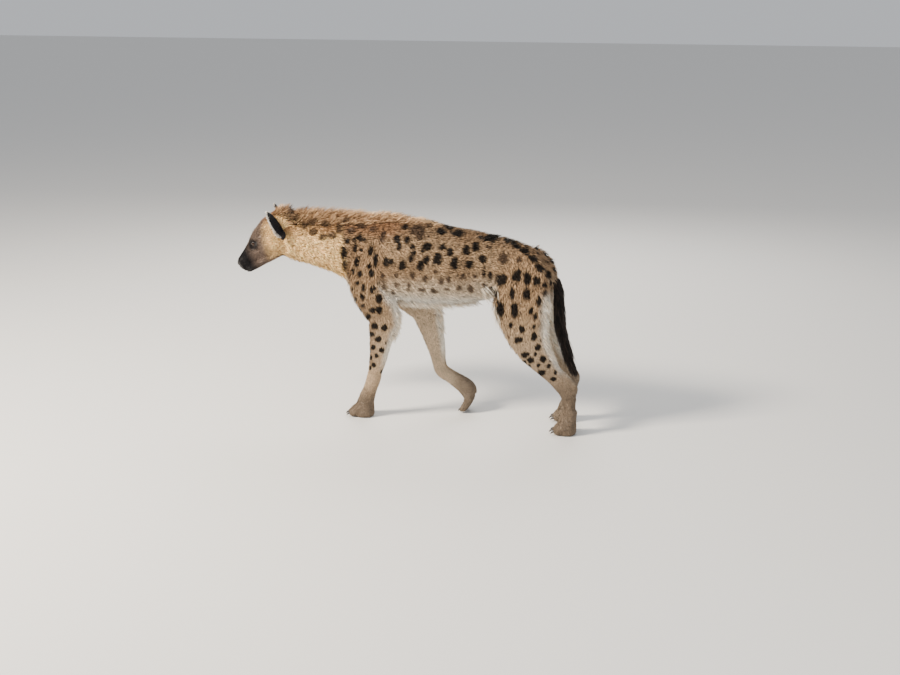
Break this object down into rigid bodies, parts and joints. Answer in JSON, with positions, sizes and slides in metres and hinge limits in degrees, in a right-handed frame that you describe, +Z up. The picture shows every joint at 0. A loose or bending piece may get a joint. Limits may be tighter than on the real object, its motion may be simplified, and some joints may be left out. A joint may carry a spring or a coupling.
{
  "type": "spotted hyena model",
  "caption": "Life-size spotted hyena walking with lowered head, crested neck and hanging dark tail brush, standing on its own feet.",
  "frame": {"origin": "on the floor under the middle of the animal's box", "axes": "+Z up, +X from the nose towards the tail, +Y towards the animal's right side"},
  "size_m": [1.3706, 0.2802, 0.8098],
  "materials": {
    "pelt": "short coarse coat",
    "mane": "longer bristly coat",
    "dark_hair": "long dark hair",
    "paw": "very short coat",
    "eye": "wet gloss"
  },
  "bodies": {
    "root": {"head": "pelt", "neck": "mane", "torso": "pelt", "tail": "dark_hair", "foreleg_left": "pelt", "foreleg_right": "pelt", "hindleg_left": "pelt", "hindleg_right": "pelt", "forepaw_left": "paw", "forepaw_right": "paw", "hindpaw_left": "paw", "hindpaw_right": "paw", "ear_left": "dark_hair", "ear_right": "dark_hair", "eye_left": "eye", "eye_right": "eye"}
  },
  "joints": []
}
